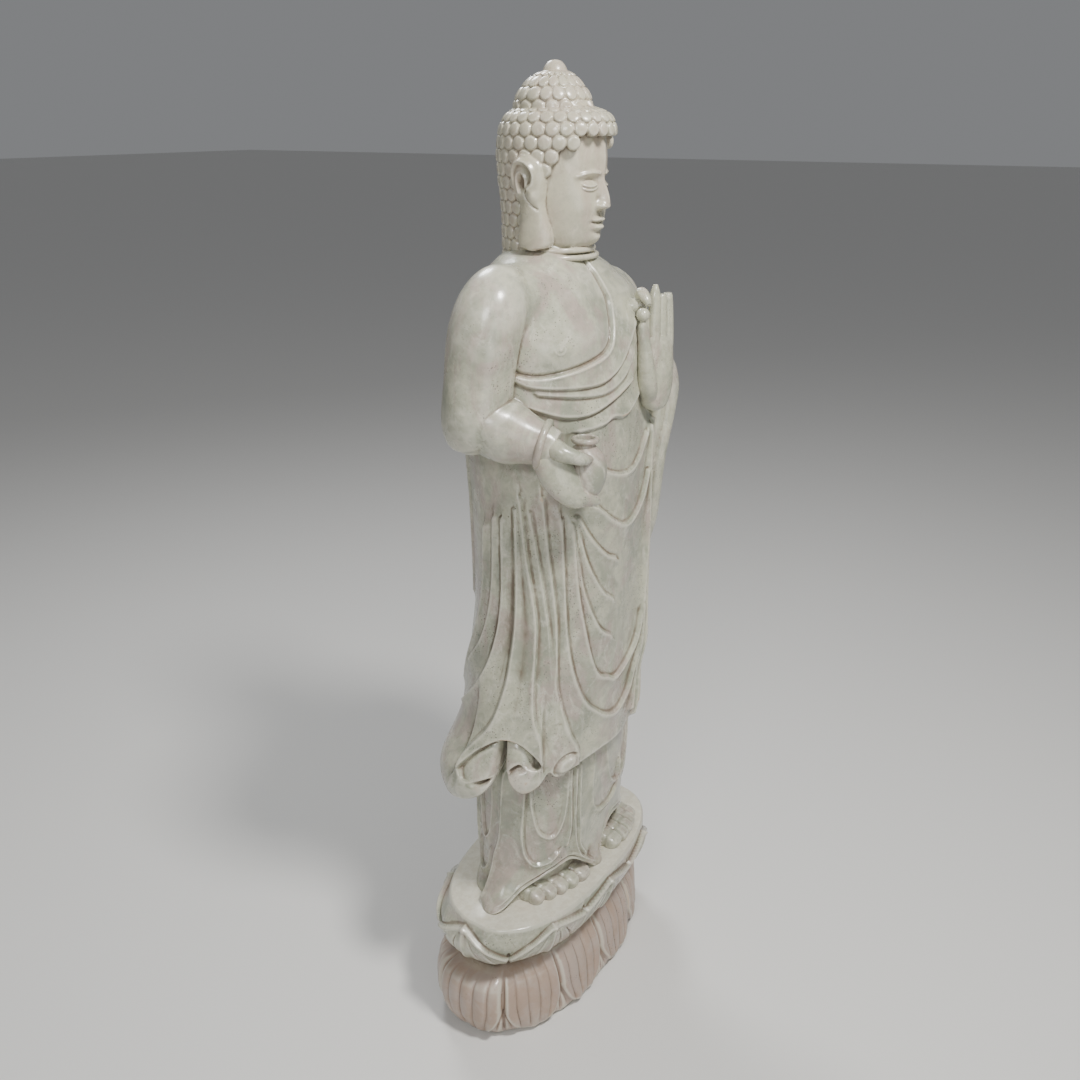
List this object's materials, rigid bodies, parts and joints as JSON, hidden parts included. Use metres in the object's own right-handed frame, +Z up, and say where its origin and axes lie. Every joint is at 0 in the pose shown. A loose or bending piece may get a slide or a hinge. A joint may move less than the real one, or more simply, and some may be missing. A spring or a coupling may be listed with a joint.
{
  "type": "standing buddha statue",
  "caption": "Life-size standing buddha carved in pale jade on an oblong double lotus base, one hand raised, the other holding a small round jar.",
  "frame": {"origin": "middle of the flat underside of the lotus base", "axes": "+Z up, the figure faces -Y, +X is the figure's own left"},
  "size_m": [0.5789, 0.3433, 1.6985],
  "materials": {
    "jade": "polished pale grey-green jade with lavender and white mottling, dark specks and brown grime in the grooves"
  },
  "bodies": {
    "root": {"statue": "jade"}
  },
  "joints": []
}
